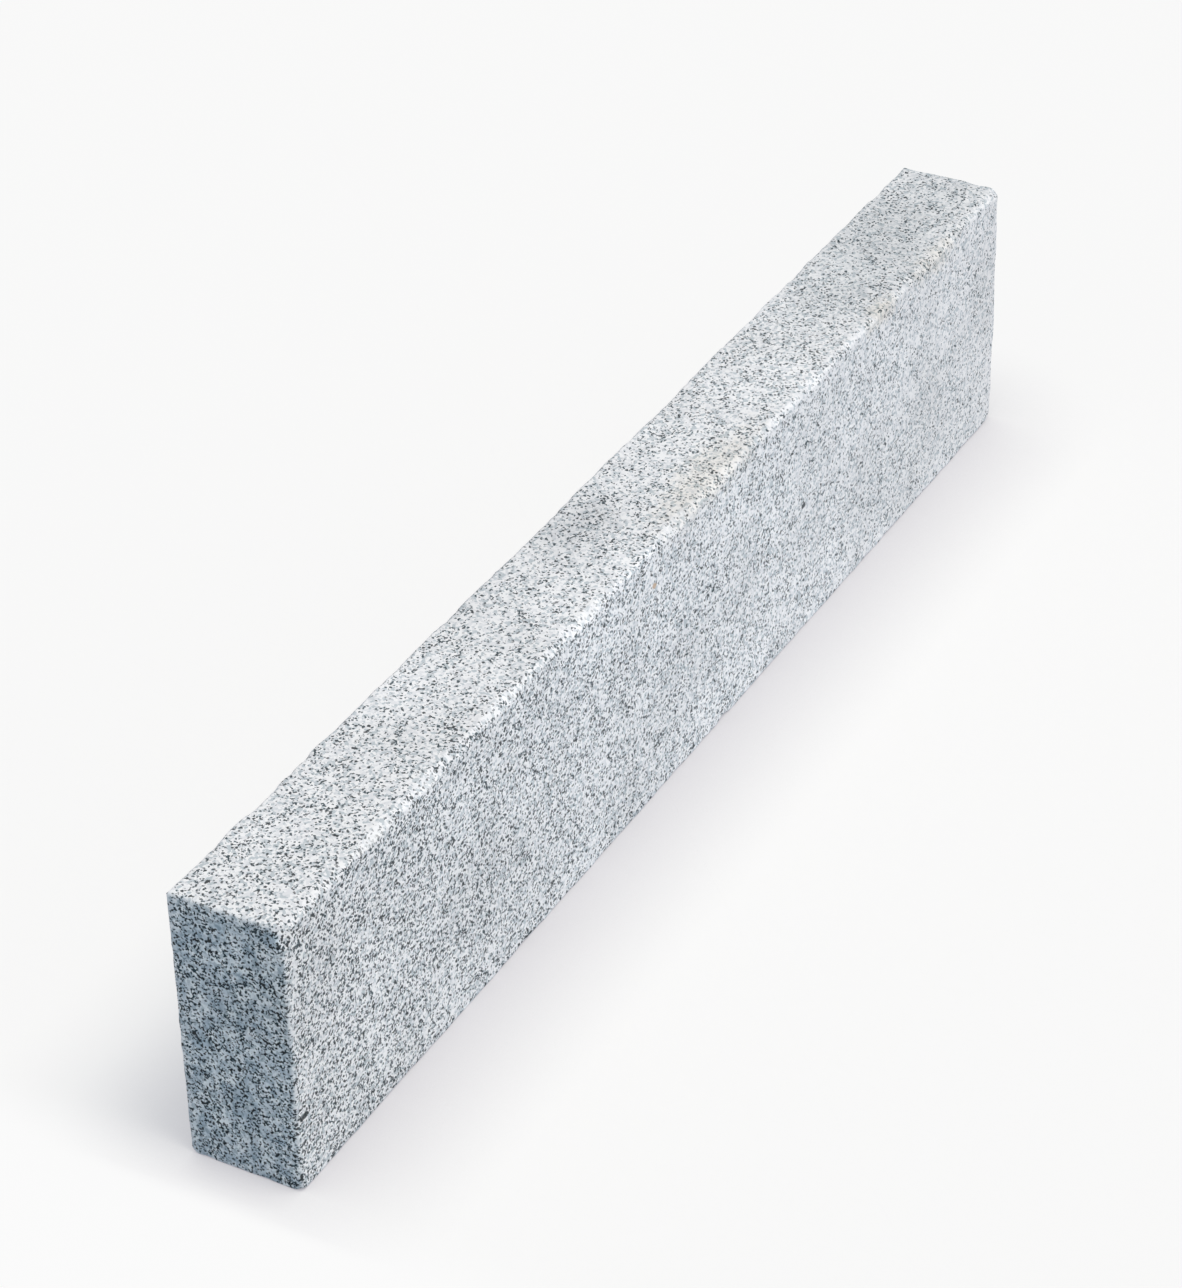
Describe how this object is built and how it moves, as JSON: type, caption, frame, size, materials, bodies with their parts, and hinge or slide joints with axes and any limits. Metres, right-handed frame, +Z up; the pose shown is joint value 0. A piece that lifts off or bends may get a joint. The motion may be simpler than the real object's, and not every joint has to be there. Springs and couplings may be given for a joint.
{
  "type": "granite lawn edging stone",
  "caption": "Long flat granite block, stood on its narrow bed to edge a lawn or path, with a dressed top, hammer-broken edges and knocked corners.",
  "frame": {"origin": "middle of the bed face, which is the face the stone stands on", "axes": "+X along the stone from its near end to its far end, +Y across it from the front face to the back face, +Z up"},
  "size_m": [1, 0.08, 0.1998],
  "materials": {
    "granite": "light grey salt-and-pepper granite, rough, with pale bruised edges and a few rust-tinted stains"
  },
  "bodies": {
    "root": {"edging_stone": "granite"}
  },
  "joints": []
}
